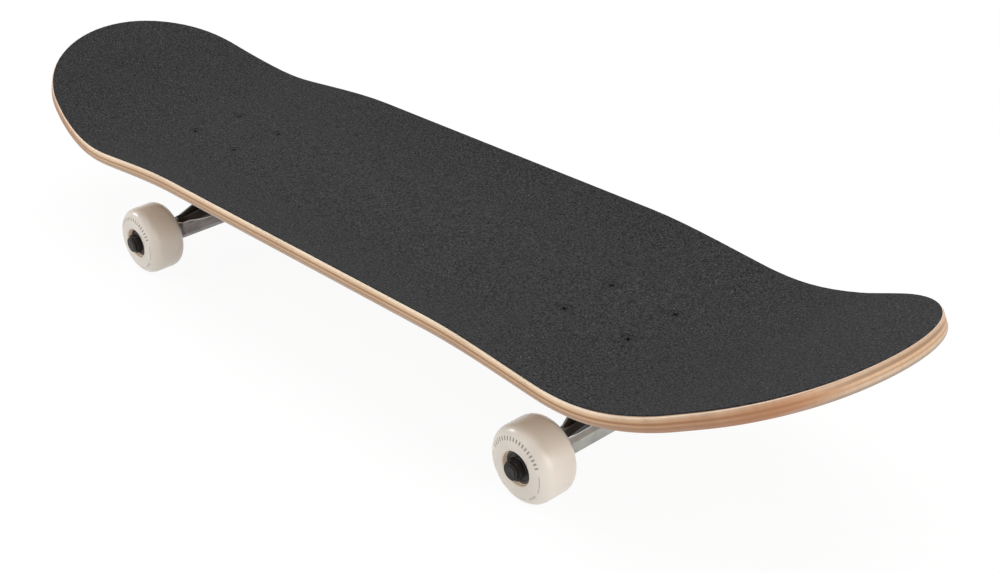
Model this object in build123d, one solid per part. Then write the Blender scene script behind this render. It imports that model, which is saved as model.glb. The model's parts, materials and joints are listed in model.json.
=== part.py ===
from build123d import *
import math
import os

# Skateboard: pressed deck with two trucks, four wheels and eight bearings.
# Millimetres, +X to the nose, +Y to the rider's left when facing the nose, +Z up, floor at Z = 0.

# Deck plan
deck_width = 200.2
wheelbase = 362.0
bolt_row_pitch = 54.0
bolt_column_pitch = 41.3
nose_length = 177.7
tail_length = 159.4
nose_taper_length = 185.5
tail_taper_length = 169.4
tip_side_inset = 10.8

# Deck pressing
deck_thickness = 9.8
concave_rise = 13.1
flat_strip_width = 79.2
concave_fade_before_bolts = 38.9
concave_fade_past_bolts = 51.4
nose_end_rise = 2.5
tail_end_rise = 3.6
nose_kick_gap = 2.9
nose_kick_radius = 216.0
nose_kick_angle = 25.2
tail_kick_gap = 6.6
tail_kick_radius = 245.4
tail_kick_angle = 25.2
top_edge_radius = 1.0
bottom_edge_radius = 2.2

# Grip tape
grip_thickness = 0.8
grip_bond = 0.1
grip_inset = 0.7

# Mounting hardware
bolt_diameter = 4.8
bolt_head_diameter = 9.2
bolt_head_rim = 0.3
bolt_head_sink = 0.2
bolt_tip_stickout = 2.0
bolt_hole_clearance = 0.3
cross_slot_length = 5.0
cross_slot_width = 1.1
cross_slot_depth = 1.8
cross_slot_turn = 37.0
mounting_nut_across_flats = 9.5
mounting_nut_height = 6.0

# Baseplate
plate_length = 84.0
plate_width = 57.0
plate_thickness = 5.5
plate_corner_radius = 9.0
waist_depth = 4.0
waist_radius = 19.0
plate_edge_radius = 1.5
kingpin_boss_wall = 7.0
kingpin_boss_flare = 8.0
kingpin_boss_rim = 0.6
pivot_boss_wall = 2.6
pivot_offset = 24.5
pivot_stand = 8.5
pivot_mouth = 3.0

# Kingpin and bushings
kingpin_diameter = 9.5
kingpin_lean = 28.0
kingpin_offset = 13.0
kingpin_head_across_flats = 14.3
kingpin_head_height = 6.0
kingpin_head_cover = 1.3
kingpin_tip_stickout = 2.5
kingpin_nut_height = 8.0
lower_bushing_diameter = 24.5
lower_bushing_height = 13.0
upper_bushing_diameter = 23.0
upper_bushing_tip_diameter = 17.5
upper_bushing_height = 10.5
bushing_edge_radius = 1.2
cup_washer_thickness = 1.5
cup_washer_rim = 1.2
cup_washer_rim_height = 1.6
cup_washer_clearance = 0.3

# Hanger
truck_height = 53.9
axle_offset = 7.9
hanger_width = 137.2
hanger_tube_diameter = 18.6
hanger_tube_across_flats = 16.4
hanger_tube_corner = 19.0
hanger_end_diameter = 14.6
hanger_neck_length = 9.0
hanger_shoulder_length = 2.0
ring_web = 8.0
ring_seat_depth = 1.0
ring_lip = 2.6
ring_edge_radius = 1.2
ring_swing_clearance = 3.5
yoke_thickness = 9.0
yoke_end_gap = 3.6
yoke_end_sink = 2.1
yoke_knee = 20.0
yoke_knee_rise = 14.0
yoke_top_inset = 3.0
yoke_bend_radius = 8.0
yoke_edge_radius = 2.5
pivot_ball_diameter = 12.0
pivot_cup_clearance = 0.3
pivot_cup_wall = 2.2
stem_tip_diameter = 10.4
stem_root_diameter = 18.0
gusset_thickness = 6.5
gusset_end_gap = 1.6
gusset_end_sink = 1.6
gusset_knee = 18.0
gusset_knee_rise = 11.0
gusset_top_inset = 0.2
gusset_height = 28.0
gusset_bend_radius = 10.0
gusset_edge_radius = 1.8

# Axle hardware
axle_diameter = 7.94
axle_stickout = 0.3
speed_washer_thickness = 1.0
speed_washer_diameter = 12.4
axle_nut_across_flats = 12.7
axle_nut_height = 6.2

# Lock nuts: the hexagon's share of the height, its chamfer's of the corners, the collar's of the flats
nut_hexagon_share = 0.75
nut_chamfer_share = 0.6
nut_collar_share = 0.9

# Wheels and bearings
wheel_diameter = 52.0
wheel_width = 30.0
wheel_edge_radius = 8.6
wheel_mouth_radius = 0.8
wheel_mouth_gap = 0.4
wheel_core_wall = 2.5
bearing_outer_diameter = 22.0
bearing_bore = 8.0
bearing_width = 7.0
ball_diameter = 3.97
ball_count = 7
race_clearance = 0.1
race_depth = 0.285
shield_thickness = 0.3
shield_setback = 0.25
shield_seat_depth = 0.5
shield_clearance = 0.25
cage_wall = 1.5
cage_back = 0.55
cage_reach = 0.9
spacer_length = 10.0
spacer_wall = 1.1

# Fits
press_clearance = 0.02
thread_clearance = 0.05
slip_clearance = 0.1

# How shapes are made: sections in a loft, how far a cut runs past its piece, the least upward lean
# that tells a sheet from a wall, and the share of a wall that a rounding may take
loft_steps = 6
cut_overrun = 3.0
sheet_tilt = 0.5
fillet_share = 0.8

# Levels and stations that follow from the sizes above
half_width = deck_width / 2
flat_half = flat_strip_width / 2
inner_bolt_station = wheelbase / 2
outer_bolt_station = inner_bolt_station + bolt_row_pitch
truck_station = inner_bolt_station + bolt_row_pitch / 2
middle_x = (tail_length - nose_length) / 2
axle_level = wheel_diameter / 2
underside_level = axle_level + truck_height
deck_top_level = underside_level + deck_thickness
grip_top_level = deck_top_level + grip_bond + grip_thickness
bolt_head_level = grip_top_level - bolt_head_sink
bolt_tip_level = underside_level - plate_thickness - mounting_nut_height - bolt_tip_stickout
concave_start = inner_bolt_station - concave_fade_before_bolts
concave_end = outer_bolt_station + concave_fade_past_bolts

# Layout of one truck: X outwards to the board's end, Z = 0 on the deck's underside
lean = math.radians(kingpin_lean)
head_corner = kingpin_head_across_flats / math.sqrt(3)
ring_above = ring_web / 2 + lower_bushing_height + cup_washer_thickness
stack_to_head = ring_above + kingpin_boss_wall + kingpin_head_height
ring_drop = kingpin_head_cover + head_corner * math.sin(lean) + stack_to_head * math.cos(lean)
pivot_drop = plate_thickness + pivot_stand
ring_centre = Vector(-kingpin_offset, 0, -ring_drop)
pivot_centre = Vector(pivot_offset, 0, -pivot_drop)
axle_centre = Vector(axle_offset, 0, -truck_height)
kingpin_axis = Vector(-math.sin(lean), 0, -math.cos(lean))
ring_outwards = Vector(math.cos(lean), 0, -math.sin(lean))
stem_axis = (axle_centre - pivot_centre).normalized()
yoke_axis = (axle_centre - ring_centre).normalized()
kingpin_plane = Plane(ring_centre, x_dir=ring_outwards, z_dir=kingpin_axis)
pivot_plane = Plane(pivot_centre, x_dir=(0, 1, 0), z_dir=stem_axis)

# Stations along the kingpin, from the ring's centre towards the nut
boss_seat = -ring_above
head_seat = boss_seat - kingpin_boss_wall
head_top = head_seat - kingpin_head_height
upper_washer_face = ring_web / 2 + upper_bushing_height
nut_seat = upper_washer_face + cup_washer_thickness
kingpin_tip = nut_seat + kingpin_nut_height + kingpin_tip_stickout

# Radii that follow from what fits inside
kingpin_radius = kingpin_diameter / 2
washer_lower_radius = lower_bushing_diameter / 2 + cup_washer_clearance + cup_washer_rim
upper_bushing_taper = (upper_bushing_diameter - upper_bushing_tip_diameter) / 2 / upper_bushing_height
washer_upper_grip = upper_bushing_tip_diameter / 2 + upper_bushing_taper * cup_washer_rim_height
washer_upper_radius = washer_upper_grip + cup_washer_clearance + cup_washer_rim
ring_seat_radius = max(lower_bushing_diameter, upper_bushing_diameter) / 2 + cup_washer_clearance
ring_radius = ring_seat_radius + ring_lip
ring_half = ring_web / 2 + ring_seat_depth
boss_seat_radius = washer_lower_radius + kingpin_boss_rim
pivot_ball_radius = pivot_ball_diameter / 2
pivot_socket_radius = pivot_ball_radius + pivot_cup_clearance
pivot_cup_radius = pivot_socket_radius + pivot_cup_wall
pivot_cup_depth = pivot_socket_radius + pivot_cup_wall
pivot_boss_radius = pivot_cup_radius + pivot_boss_wall
axle_radius = axle_diameter / 2
bearing_pair_half = spacer_length / 2 + bearing_width
wheel_station = hanger_width / 2 + speed_washer_thickness + bearing_pair_half
axle_nut_station = wheel_station + bearing_pair_half + speed_washer_thickness
axle_half_length = axle_nut_station + axle_nut_height + axle_stickout
bearing_station = (spacer_length + bearing_width) / 2
ball_radius = ball_diameter / 2
pocket_radius = ball_radius + race_clearance
pitch_radius = (bearing_outer_diameter + bearing_bore) / 4
outer_shoulder = pitch_radius + ball_radius - race_depth
inner_shoulder = pitch_radius - ball_radius + race_depth
shield_seat_radius = outer_shoulder + shield_seat_depth
shield_level = bearing_width / 2 - shield_setback - shield_thickness


def on_axis(plane, start, end, radius):
    """Round bar along a plane's normal, between two distances from its origin."""
    return extrude(plane.offset(start) * Circle(radius), end - start)


def turned(points):
    """Solid turned about Z from a closed outline of (radius, height) points."""
    return revolve(Plane.XZ * make_face(Polyline(*points, close=True)), Axis.Z)


def tube_between(start, end, inner_radius, outer_radius):
    """Tube about Z between two heights."""
    return extrude(Pos(0, 0, start) * (Circle(outer_radius) - Circle(inner_radius)), end - start)


def along_axle(shape):
    """Place a shape that is built along Z on the axle, across the board."""
    return Pos(axle_centre) * Rot(90, 0, 0) * shape


def outwards(side, station):
    """Frame on the axle at a distance from the board's middle, with Z pointing away from it."""
    return Pos(axle_centre) * Rot(-90 * side, 0, 0) * Pos(0, 0, station)


def hex_nut(across_flats, height, bore_radius):
    """Lock nut on Z = 0: chamfered hexagon with a round collar over it."""
    flat = across_flats / 2
    corner = across_flats / math.sqrt(3)
    hex_height = height * nut_hexagon_share
    chamfer_height = (corner - flat) * nut_chamfer_share
    hexagon = extrude(RegularPolygon(corner, 6), hex_height)
    blank = turned(
        [
            (0, 0),
            (flat, 0),
            (corner, chamfer_height),
            (corner, hex_height - chamfer_height),
            (flat, hex_height),
            (0, hex_height),
        ]
    )
    collar = extrude(Circle(flat * nut_collar_share), height)
    return (hexagon & blank) + collar - extrude(Circle(bore_radius), height)


class BoardEnd:
    """One raised end of the board, measured outwards from the middle between the trucks."""

    def __init__(self, length, taper_length, end_rise, kick_gap, kick_radius, kick_angle):
        self.tip = outer_bolt_station + length
        self.taper_length = taper_length
        self.end_rise = end_rise
        self.kick_start = outer_bolt_station + kick_gap
        self.kick_radius = kick_radius
        self.angle = math.radians(kick_angle)
        self.kick_end = self.kick_start + kick_radius * math.sin(self.angle)

    def rise(self, station):
        """Height of the concave edge over the flat strip: it fades smoothly past the trucks."""
        share = (station - concave_start) / (concave_end - concave_start)
        share = min(max(share, 0), 1)
        fade = share * share * (3 - 2 * share)
        return concave_rise + (self.end_rise - concave_rise) * fade

    def plane(self, station):
        """Plane square to the deck's middle line, which runs level, round an arc, then straight."""
        bend = min(max(station - self.kick_start, 0) / self.kick_radius, math.sin(self.angle))
        angle = math.asin(bend)
        height = self.kick_radius * (1 - math.cos(angle))
        height += max(station - self.kick_end, 0) * math.tan(self.angle)
        tangent = (math.cos(angle), 0, math.sin(angle))
        return Plane((station, 0, height), x_dir=(0, 1, 0), z_dir=tangent)

    def section(self, station, low, high):
        """Section between two heights over the deck's top: flat strip with an arc to each side."""
        rise = self.rise(station)
        reach = half_width - flat_half
        radius = (reach * reach + rise * rise) / (2 * rise)
        sweep = math.asin((reach + deck_thickness) / radius)

        def arc_point(height, share, side):
            angle = sweep * share
            across = flat_half + (radius - height) * math.sin(angle)
            return side * across, radius - (radius - height) * math.cos(angle)

        edges = [Line((-flat_half, low), (flat_half, low)), Line((-flat_half, high), (flat_half, high))]
        for side in (-1, 1):
            for height in (low, high):
                edges.append(ThreePointArc(*[arc_point(height, share, side) for share in (0, 0.5, 1)]))
            edges.append(Line(arc_point(low, 1, side), arc_point(high, 1, side)))
        return self.plane(station) * make_face(edges)

    def blank(self, low, high):
        """Pressed layer from where the concave starts to fade to past the tip."""

        def between(start, end):
            stations = [start + (end - start) * step / loft_steps for step in range(loft_steps + 1)]
            return loft([self.section(station, low, high) for station in stations])

        straight = (self.tip - self.kick_end) / math.cos(self.angle) + deck_thickness
        fading = between(concave_start, self.kick_start)
        bending = between(self.kick_start, self.kick_end)
        return fading + bending + extrude(self.section(self.kick_end, low, high), straight)

    def outline(self, inset):
        """Outline on the end's own slope, from the tip: side arcs tangent to the sides and the tip arc."""
        half = half_width - inset
        tip_radius = half - tip_side_inset
        tip_centre = -inset - tip_radius
        taper_start = -self.taper_length
        back = -2 * self.tip
        run = tip_centre - taper_start
        side_radius = (run * run + half * half - tip_radius * tip_radius) / (2 * (half - tip_radius))
        meet = math.atan2(side_radius - half, run)
        middle = (meet + math.pi / 2) / 2

        def side_arc(angle, side):
            x = taper_start + side_radius * math.cos(angle)
            return x, side * (half - side_radius + side_radius * math.sin(angle))

        ends = [side_arc(meet, side) for side in (-1, 1)]
        edges = [ThreePointArc(ends[0], (-inset, 0), ends[1]), Line((back, -half), (back, half))]
        for side in (-1, 1):
            edges.append(ThreePointArc(*[side_arc(angle, side) for angle in (math.pi / 2, middle, meet)]))
            edges.append(Line((back, side * half), (taper_start, side * half)))
        return make_face(edges)

    def half(self, low, high, inset):
        """Half of a pressed layer, from the board's middle to the tip, cut square to the end's slope."""
        level = extrude(self.section(concave_start, low, high), -concave_start)
        tip = self.plane(self.tip)
        slope = Plane(tip.origin, x_dir=tip.z_dir, z_dir=tip.y_dir)
        cutter = extrude(slope * self.outline(inset), self.tip / 2, both=True)
        return (level + self.blank(low, high)) & cutter


nose_end = BoardEnd(
    nose_length, nose_taper_length, nose_end_rise, nose_kick_gap, nose_kick_radius, nose_kick_angle
)
tail_end = BoardEnd(
    tail_length, tail_taper_length, tail_end_rise, tail_kick_gap, tail_kick_radius, tail_kick_angle
)


def board_layer(low, high, inset):
    """Layer of the pressed board between two heights over the deck's top, cut to its outline."""
    layer = nose_end.half(low, high, inset) + Rot(0, 0, 180) * tail_end.half(low, high, inset)
    return Pos(middle_x, 0, deck_top_level) * layer


def round_rim(board, upwards, radius):
    """Round the board's rim where its walls meet the faces that look up (1) or down (-1)."""
    walls = board.faces().filter_by(lambda face: abs(face.normal_at(face.center()).Z) < sheet_tilt)
    sheets = board.faces().filter_by(lambda face: upwards * face.normal_at(face.center()).Z > sheet_tilt)
    return fillet(walls.edges() & sheets.edges(), radius)


def bolt_places():
    """Centres of the eight mounting bolts, as (x, y)."""
    rows = [end * (truck_station + row * bolt_row_pitch / 2) for end in (-1, 1) for row in (-1, 1)]
    return [(middle_x + row, side * bolt_column_pitch / 2) for row in rows for side in (-1, 1)]


def at_bolts(shape, turn=0):
    """Copies of a shape at every mounting bolt, each turned by a step more than the one before."""
    return [Pos(x, y, 0) * Rot(0, 0, turn * step) * shape for step, (x, y) in enumerate(bolt_places())]


def bolt_blank(growth, top):
    """Countersunk bolt up to a level, or with some growth its hole, at its height in the board."""
    head = bolt_head_diameter / 2 + growth
    shank = bolt_diameter / 2 + growth
    cone_top = bolt_head_level - bolt_head_rim
    cone_bottom = cone_top - (head - shank)
    return turned(
        [
            (0, top),
            (head, top),
            (head, cone_top),
            (shank, cone_bottom),
            (shank, bolt_tip_level),
            (0, bolt_tip_level),
        ]
    )


def make_deck():
    """Pressed deck with its rounded rim and countersunk bolt holes."""
    deck = board_layer(-deck_thickness, 0, 0)
    deck = round_rim(deck, 1, top_edge_radius)
    deck = round_rim(deck, -1, bottom_edge_radius)
    return deck - at_bolts(bolt_blank(bolt_hole_clearance, grip_top_level + cut_overrun))


def make_grip():
    """Grip sheet with a round hole over each bolt head."""
    grip = board_layer(grip_bond, grip_bond + grip_thickness, grip_inset)
    hole = Cylinder(bolt_head_diameter / 2 + bolt_hole_clearance, 2 * (grip_thickness + cut_overrun))
    return grip - at_bolts(Pos(0, 0, grip_top_level) * hole)


def make_bolt():
    """Countersunk bolt with a cross recess."""
    recess = Pos(0, 0, bolt_head_level) * (
        Box(cross_slot_length, cross_slot_width, 2 * cross_slot_depth)
        + Box(cross_slot_width, cross_slot_length, 2 * cross_slot_depth)
    )
    return bolt_blank(0, bolt_head_level) - recess


def make_mounting_nut():
    """Lock nut against the baseplate, at its height in the board."""
    nut = hex_nut(mounting_nut_across_flats, mounting_nut_height, bolt_diameter / 2 + thread_clearance)
    return Pos(0, 0, underside_level - plate_thickness) * Rot(180, 0, 0) * nut


def kingpin_bar(start, end, radius):
    """Round bar along the kingpin, between two distances below the ring's centre."""
    return on_axis(kingpin_plane, start, end, radius)


def pivot_bar(start, end, radius):
    """Round bar along the hanger's stem, between two distances below the pivot's centre."""
    return on_axis(pivot_plane, start, end, radius)


def make_baseplate():
    """Cast baseplate: waisted plate, leaning kingpin boss and pivot boss."""
    plate = extrude(RectangleRounded(plate_length, plate_width, plate_corner_radius), -plate_thickness)
    waist = extrude(Circle(waist_radius), -plate_thickness)
    for side in (-1, 1):
        plate -= Pos(0, side * (plate_width / 2 + waist_radius - waist_depth), 0) * waist
    plate = fillet(plate.faces().sort_by(Axis.Z)[0].edges(), plate_edge_radius)
    foot_x = ring_centre.X + (ring_drop - plate_thickness) * math.tan(lean)
    foot = Plane((foot_x, 0, -plate_thickness / 2), x_dir=(1, 0, 0), z_dir=(0, 0, -1))
    flare = Ellipse(boss_seat_radius + kingpin_boss_flare, boss_seat_radius + kingpin_boss_flare / 2)
    boss = loft([foot * flare, kingpin_plane.offset(boss_seat) * Circle(boss_seat_radius)])
    below_deck = extrude(Rectangle(2 * plate_length, 2 * plate_width), -truck_height)
    pivot_boss = pivot_bar(-truck_height, pivot_mouth, pivot_boss_radius) & below_deck
    body = plate + boss + pivot_boss
    body -= pivot_bar(-pivot_cup_depth, truck_height, pivot_cup_radius + press_clearance)
    body -= kingpin_bar(-truck_height, 0, kingpin_radius + slip_clearance)
    head_pocket = RegularPolygon(head_corner + 2 * slip_clearance, 6)
    body -= extrude(kingpin_plane.offset(head_seat) * head_pocket, -truck_height)
    hole = Cylinder(bolt_diameter / 2 + bolt_hole_clearance, 2 * (plate_thickness + cut_overrun))
    for row in (-1, 1):
        for side in (-1, 1):
            body -= Pos(row * bolt_row_pitch / 2, side * bolt_column_pitch / 2, 0) * hole
    return body


def make_pivot_cup():
    """Urethane cup with a round socket for the hanger's ball."""
    cup = pivot_bar(-pivot_cup_depth, pivot_mouth, pivot_cup_radius)
    socket = Pos(pivot_centre) * Sphere(pivot_socket_radius)
    return cup - socket - pivot_bar(0, pivot_mouth, pivot_socket_radius)


def make_kingpin():
    """Kingpin with a hexagon head sunk in the baseplate."""
    head = extrude(kingpin_plane.offset(head_top) * RegularPolygon(head_corner, 6), kingpin_head_height)
    return head + kingpin_bar(head_top, kingpin_tip, kingpin_radius)


def make_kingpin_nut():
    """Lock nut on the kingpin's end."""
    nut = hex_nut(kingpin_head_across_flats, kingpin_nut_height, kingpin_radius + thread_clearance)
    return kingpin_plane.offset(nut_seat).location * nut


def make_bushing(start, height, start_diameter, end_diameter):
    """Urethane bushing round the kingpin, with rounded edges."""
    bore = kingpin_radius + slip_clearance
    outline = Polyline(
        (bore, 0), (start_diameter / 2, 0), (end_diameter / 2, height), (bore, height), close=True
    )
    face = make_face(outline)
    face = fillet(face.vertices().sort_by(Axis.X)[-2:], bushing_edge_radius)
    bushing = revolve(Plane.XZ * face, Axis.Z)
    return kingpin_plane.offset(start).location * bushing


def make_cup_washer(face_station, facing, radius):
    """Cupped washer whose rim grips the bushing: facing is 1 towards the nut, -1 towards the deck."""
    bore = kingpin_radius + slip_clearance
    rim = radius - cup_washer_rim
    washer = turned(
        [
            (bore, 0),
            (rim, 0),
            (rim, -cup_washer_rim_height),
            (radius, -cup_washer_rim_height),
            (radius, cup_washer_thickness),
            (bore, cup_washer_thickness),
        ]
    )
    turn = Rot(0 if facing > 0 else 180, 0, 0)
    return kingpin_plane.offset(face_station).location * turn * washer


def web(axis, outline, knee, bend_radius, thickness, edge_radius):
    """Web from the axle tube up to its top, with its rim rounded: outline is its right half."""
    left = [(-across, height) for across, height in reversed(outline)]
    face = make_face(Polyline(*outline, *left, close=True))
    face = fillet(face.vertices().filter_by(lambda corner: math.isclose(abs(corner.X), knee)), bend_radius)
    plane = Plane(axle_centre, x_dir=(0, 1, 0), z_dir=(-axis.Z, 0, axis.X))
    blank = extrude(plane * face, thickness / 2, both=True)
    rims = blank.faces().filter_by(plane).edges()
    free = rims.filter_by(lambda edge: plane.to_local_coords(edge.center()).Y > edge_radius)
    return fillet(free, edge_radius)


def make_hanger():
    """Cast hanger: axle tube, yoke with the bushing ring, and gusseted stem with the pivot ball."""
    half = hanger_width / 2
    tube = hanger_tube_diameter / 2
    end = hanger_end_diameter / 2
    neck = half - hanger_neck_length
    shoulder = neck - hanger_shoulder_length
    profile = [(0, half), (end, half), (end, neck), (tube, shoulder)]
    round_bar = turned(profile + [(radius, -height) for radius, height in reversed(profile)])
    flats = RegularPolygon(hanger_tube_across_flats / 2, 6, major_radius=False)
    body = along_axle(round_bar & extrude(Rot(0, 0, hanger_tube_corner) * flats, half, both=True))
    gusset_outline = [
        (neck - gusset_end_gap, 0),
        (neck - gusset_end_gap, tube - gusset_end_sink),
        (gusset_knee, tube + gusset_knee_rise),
        (stem_tip_diameter / 2 - gusset_top_inset, gusset_height),
    ]
    body += web(
        stem_axis, gusset_outline, gusset_knee, gusset_bend_radius, gusset_thickness, gusset_edge_radius
    )
    yoke_outline = [
        (neck - yoke_end_gap, 0),
        (neck - yoke_end_gap, tube - yoke_end_sink),
        (yoke_knee, tube + yoke_knee_rise),
        (ring_radius - yoke_top_inset, (axle_centre - ring_centre).length),
    ]
    body += web(yoke_axis, yoke_outline, yoke_knee, yoke_bend_radius, yoke_thickness, yoke_edge_radius)
    stem_length = (axle_centre - pivot_centre).length
    stem = Cone(stem_tip_diameter / 2, stem_root_diameter / 2, stem_length)
    body += pivot_plane.offset(stem_length / 2).location * stem
    ring = kingpin_bar(-ring_half, ring_half, ring_radius)
    body += fillet(ring.edges().filter_by(GeomType.CIRCLE), ring_edge_radius)
    body += Pos(pivot_centre) * Sphere(pivot_ball_radius)
    body -= kingpin_bar(-ring_above, -ring_web / 2, ring_seat_radius)
    body -= kingpin_bar(ring_web / 2, nut_seat, ring_seat_radius)
    body -= kingpin_bar(-ring_half, ring_half, kingpin_radius + ring_swing_clearance)
    return body - along_axle(Cylinder(axle_radius + press_clearance, 2 * axle_half_length))


def make_axle():
    """Steel axle through the hanger, long enough for both wheels and their nuts."""
    return along_axle(Cylinder(axle_radius, 2 * axle_half_length))


def make_axle_nuts():
    """Lock nut outside each wheel."""
    nut = hex_nut(axle_nut_across_flats, axle_nut_height, axle_radius + thread_clearance)
    return [outwards(side, axle_nut_station) * nut for side in (-1, 1)]


def make_speed_washers():
    """Thin washers on both sides of each wheel's bearings."""
    bore = axle_radius + slip_clearance
    washer = tube_between(0, speed_washer_thickness, bore, speed_washer_diameter / 2)
    stations = (hanger_width / 2, axle_nut_station - speed_washer_thickness)
    return [outwards(side, station) * washer for side in (-1, 1) for station in stations]


def make_wheel():
    """Urethane wheel about Z, with rounded edges and a bearing seat on each side."""
    tread = wheel_diameter / 2
    face = wheel_width / 2
    seat = bearing_outer_diameter / 2 + press_clearance
    mouth = bearing_outer_diameter / 2 + wheel_mouth_gap
    core = bearing_outer_diameter / 2 - wheel_core_wall
    core_half = spacer_length / 2
    half = [
        (core, core_half),
        (seat, core_half),
        (seat, bearing_pair_half),
        (mouth, bearing_pair_half),
        (mouth, face),
        (tread, face),
    ]
    mirrored = [(radius, -height) for radius, height in reversed(half)]
    section = make_face(Polyline(*half, *mirrored, close=True))
    mouth_radius = min(wheel_mouth_radius, fillet_share * (face - bearing_pair_half))
    for corner_radius, rounding in ((tread, wheel_edge_radius), (mouth, mouth_radius)):
        corners = [
            vertex
            for vertex in section.vertices()
            if math.isclose(vertex.X, corner_radius) and math.isclose(abs(vertex.Y), face)
        ]
        section = fillet(corners, rounding)
    return revolve(Plane.XZ * section, Axis.Z)


def in_both_bearings(shape):
    """Copies of a shape in the outer and the inner bearing of a wheel, facing away from each other."""
    return [Pos(0, 0, bearing_station) * shape, Rot(180, 0, 0) * Pos(0, 0, bearing_station) * shape]


def grooved_ring(half_outline):
    """Bearing ring about Z from the upper half of its outline, with a round groove for the balls."""
    outline = half_outline + [(radius, -height) for radius, height in reversed(half_outline)]
    groove = Pos(pitch_radius, 0) * Circle(pocket_radius)
    return revolve(Plane.XZ * (make_face(Polyline(*outline, close=True)) - groove), Axis.Z)


def make_outer_ring():
    """Outer bearing ring, stepped at both faces to hold the shields."""
    rim = bearing_outer_diameter / 2
    face = bearing_width / 2
    return grooved_ring(
        [
            (rim, face),
            (shield_seat_radius, face),
            (shield_seat_radius, shield_level),
            (outer_shoulder, shield_level),
        ]
    )


def make_inner_ring():
    """Inner bearing ring on the axle."""
    face = bearing_width / 2
    return grooved_ring([(bearing_bore / 2, face), (inner_shoulder, face)])


def make_shields():
    """Thin shield on each side of a bearing, held by the outer ring and clear of the inner one."""
    shield = tube_between(
        shield_level,
        shield_level + shield_thickness,
        inner_shoulder + shield_clearance,
        shield_seat_radius - slip_clearance,
    )
    return [shield, Rot(180, 0, 0) * shield]


def ball_ring(shape):
    """Copies of a shape at every ball of a bearing."""
    step = 360 / ball_count
    return [Rot(0, 0, step * ball) * Pos(pitch_radius, 0, 0) * shape for ball in range(ball_count)]


def make_cage():
    """Crown cage: a ring with a closed back and a round pocket for every ball."""
    ring = tube_between(
        -cage_reach,
        pocket_radius + cage_back,
        pitch_radius - cage_wall / 2,
        pitch_radius + cage_wall / 2,
    )
    return ring - ball_ring(Sphere(pocket_radius))


def make_spacer():
    """Tube on the axle that keeps a wheel's two inner rings apart."""
    bore = axle_radius + slip_clearance
    return tube_between(-spacer_length / 2, spacer_length / 2, bore, bore + spacer_wall)


def truck_pieces():
    """Pieces of one truck in its own frame, by name."""
    return {
        "baseplate": [make_baseplate()],
        "pivot_cup": [make_pivot_cup()],
        "kingpin": [make_kingpin()],
        "kingpin_nut": [make_kingpin_nut()],
        "bushing_lower": [
            make_bushing(
                boss_seat + cup_washer_thickness,
                lower_bushing_height,
                lower_bushing_diameter,
                lower_bushing_diameter,
            )
        ],
        "bushing_upper": [
            make_bushing(
                ring_web / 2,
                upper_bushing_height,
                upper_bushing_diameter,
                upper_bushing_tip_diameter,
            )
        ],
        "washer_lower": [make_cup_washer(boss_seat + cup_washer_thickness, -1, washer_lower_radius)],
        "washer_upper": [make_cup_washer(upper_washer_face, 1, washer_upper_radius)],
        "hanger": [make_hanger()],
        "axle": [make_axle()],
        "axle_nuts": make_axle_nuts(),
        "speed_washers": make_speed_washers(),
    }


def wheel_pieces():
    """Pieces of one wheel about Z, by name, with Z pointing away from the board."""
    shields = [shield for side in make_shields() for shield in in_both_bearings(side)]
    balls = [ball for seat in ball_ring(Sphere(ball_radius)) for ball in in_both_bearings(seat)]
    return {
        "wheel": [make_wheel()],
        "bearing_outer_rings": in_both_bearings(make_outer_ring()),
        "bearing_inner_rings": in_both_bearings(make_inner_ring()),
        "bearing_shields": shields,
        "bearing_balls": balls,
        "bearing_cages": in_both_bearings(make_cage()),
        "bearing_spacer": [make_spacer()],
    }


def board_pieces():
    """Deck, grip and mounting hardware, by name."""
    return {
        "deck": [make_deck()],
        "grip_tape": [make_grip()],
        "mounting_bolts": at_bolts(make_bolt(), cross_slot_turn),
        "mounting_nuts": at_bolts(make_mounting_nut()),
    }


def all_pieces():
    """Every piece of the skateboard in its place, by name."""
    pieces = board_pieces()
    truck = truck_pieces()
    wheel = wheel_pieces()
    for end_name, end, turn in (("nose", 1, 0), ("tail", -1, 180)):
        place = Pos(middle_x + end * truck_station, 0, underside_level) * Rot(0, 0, turn)
        for name, solids in truck.items():
            pieces[f"{end_name}_{name}"] = [place * solid for solid in solids]
        for side_name, side in (("left", 1), ("right", -1)):
            hub = place * outwards(side * end, wheel_station)
            for name, solids in wheel.items():
                pieces[f"{end_name}_{side_name}_{name}"] = [hub * solid for solid in solids]
    return pieces


def export_all():
    """Write one file for every piece or group of like pieces."""
    os.makedirs("parts", exist_ok=True)
    for name, solids in all_pieces().items():
        shape = solids[0] if len(solids) == 1 else Compound(solids)
        export_step(shape, f"parts/{name}.step")


if __name__ == "__main__":
    export_all()
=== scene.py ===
"""Looks of a skateboard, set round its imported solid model, in metres and in the model's own frame."""
import json
import logging
import math
from collections.abc import Callable, Iterable
from dataclasses import dataclass, field
from enum import Enum
from functools import lru_cache

import bmesh
import bpy
import numpy as np
from mathutils import Matrix, Vector


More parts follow.
